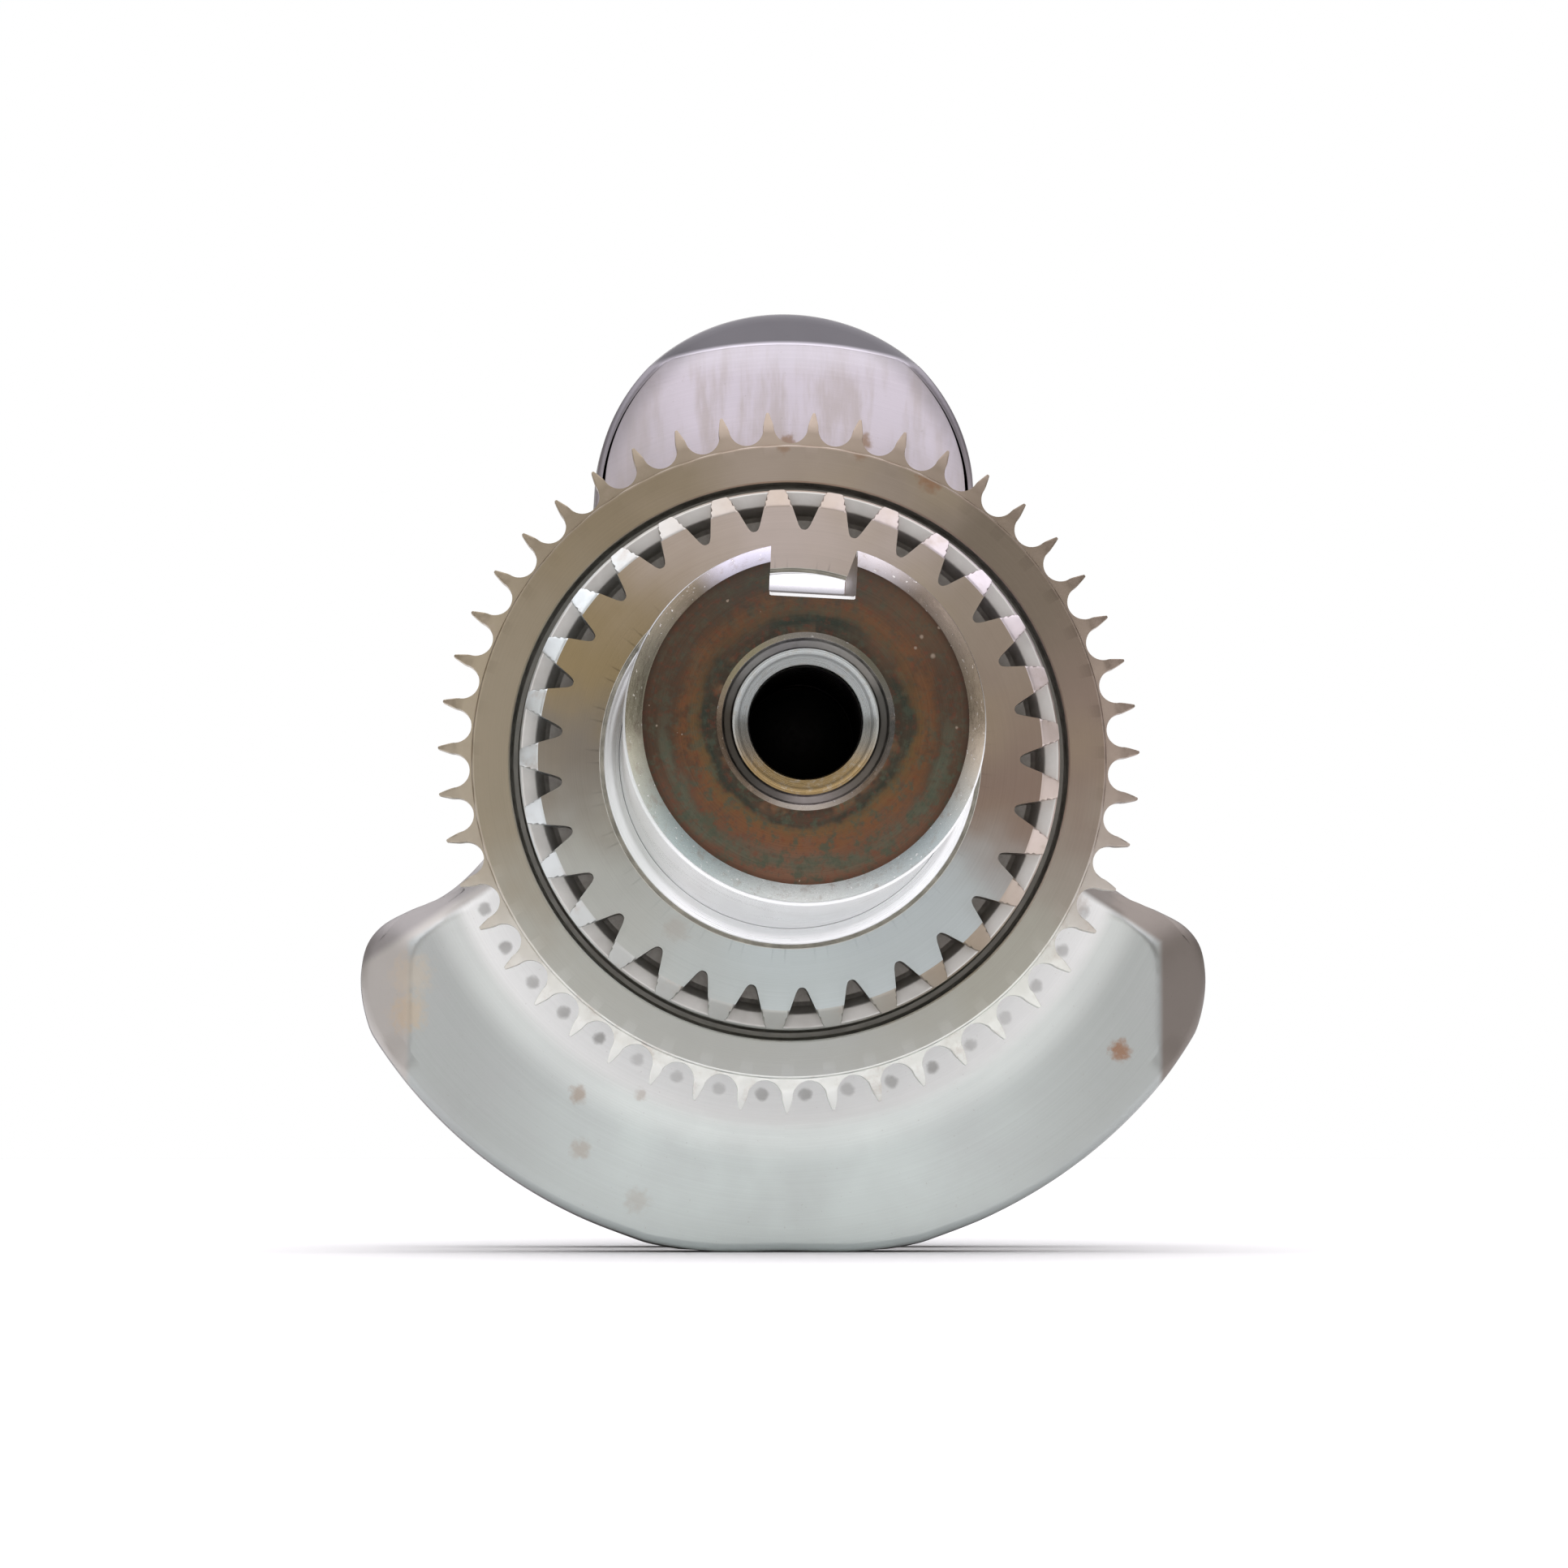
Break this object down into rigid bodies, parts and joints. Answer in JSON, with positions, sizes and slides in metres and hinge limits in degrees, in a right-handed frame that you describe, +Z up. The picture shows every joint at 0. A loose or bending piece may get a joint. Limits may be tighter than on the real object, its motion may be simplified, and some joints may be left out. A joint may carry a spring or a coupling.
{
  "type": "single-throw engine crankshaft",
  "caption": "Forged single-throw crankshaft with two counterweighted webs, keyed output shaft, timing gear, chain sprocket, ball main bearings and a tapered flywheel end.",
  "frame": {"origin": "on the level the counterweights stand on, straight below the middle of the crankpin and half way between the two main bearings; the crank axis lies 86.9 mm above it", "axes": "+Y along the crank axis from the keyed output end to the flywheel end, +Z up through the crankpin, +X to the right seen from the output end"},
  "size_m": [0.154, 0.3668, 0.1714],
  "materials": {
    "forged_steel": "ground steel, heat-tinted brown on the shaft end face",
    "gear_steel": "hardened, faint straw temper colour",
    "ring_steel": "ground",
    "key_steel": "bright drawn",
    "bearing_steel": "fine ground",
    "ball_steel": "polished",
    "cage_polyamide": "moulded, fibre filled",
    "washer_steel": "zinc plated, dull",
    "nut_steel": "blackened"
  },
  "bodies": {
    "crankshaft": {"crankshaft": "forged_steel", "gear_key": "key_steel", "woodruff_key": "key_steel", "timing_gear": "gear_steel", "chain_sprocket": "gear_steel", "front_distance_ring": "ring_steel", "rear_distance_ring": "ring_steel", "front_bearing_inner_ring": "bearing_steel", "rear_bearing_inner_ring": "bearing_steel", "flywheel_washer": "washer_steel", "flywheel_nut": "nut_steel"},
    "front_outer_ring": {"front_bearing_outer_ring": "bearing_steel"},
    "rear_outer_ring": {"rear_bearing_outer_ring": "bearing_steel"},
    "front_ball_set": {"front_bearing_cage": "cage_polyamide", "front_bearing_ball_01": "ball_steel", "front_bearing_ball_02": "ball_steel", "front_bearing_ball_03": "ball_steel", "front_bearing_ball_04": "ball_steel", "front_bearing_ball_05": "ball_steel", "front_bearing_ball_06": "ball_steel", "front_bearing_ball_07": "ball_steel", "front_bearing_ball_08": "ball_steel", "front_bearing_ball_09": "ball_steel", "front_bearing_ball_10": "ball_steel"},
    "rear_ball_set": {"rear_bearing_cage": "cage_polyamide", "rear_bearing_ball_01": "ball_steel", "rear_bearing_ball_02": "ball_steel", "rear_bearing_ball_03": "ball_steel", "rear_bearing_ball_04": "ball_steel", "rear_bearing_ball_05": "ball_steel", "rear_bearing_ball_06": "ball_steel", "rear_bearing_ball_07": "ball_steel", "rear_bearing_ball_08": "ball_steel", "rear_bearing_ball_09": "ball_steel", "rear_bearing_ball_10": "ball_steel"}
  },
  "joints": [
    {"name": "front_bearing_spin", "type": "hinge", "parent": "crankshaft", "child": "front_outer_ring", "pos_m": [0, -0.0545, 0.0869], "axis": [0, 1, 0], "continuous": true},
    {"name": "rear_bearing_spin", "type": "hinge", "parent": "crankshaft", "child": "rear_outer_ring", "pos_m": [0, 0.0545, 0.0869], "axis": [0, 1, 0], "continuous": true},
    {"name": "front_ball_set_spin", "type": "hinge", "parent": "crankshaft", "child": "front_ball_set", "pos_m": [0, -0.0545, 0.0869], "axis": [0, 1, 0], "continuous": true},
    {"name": "rear_ball_set_spin", "type": "hinge", "parent": "crankshaft", "child": "rear_ball_set", "pos_m": [0, 0.0545, 0.0869], "axis": [0, 1, 0], "continuous": true}
  ],
  "couplings": [
    {"joint": "front_ball_set_spin", "follows": "front_bearing_spin", "ratio": 0.5934},
    {"joint": "rear_ball_set_spin", "follows": "rear_bearing_spin", "ratio": 0.5934}
  ]
}
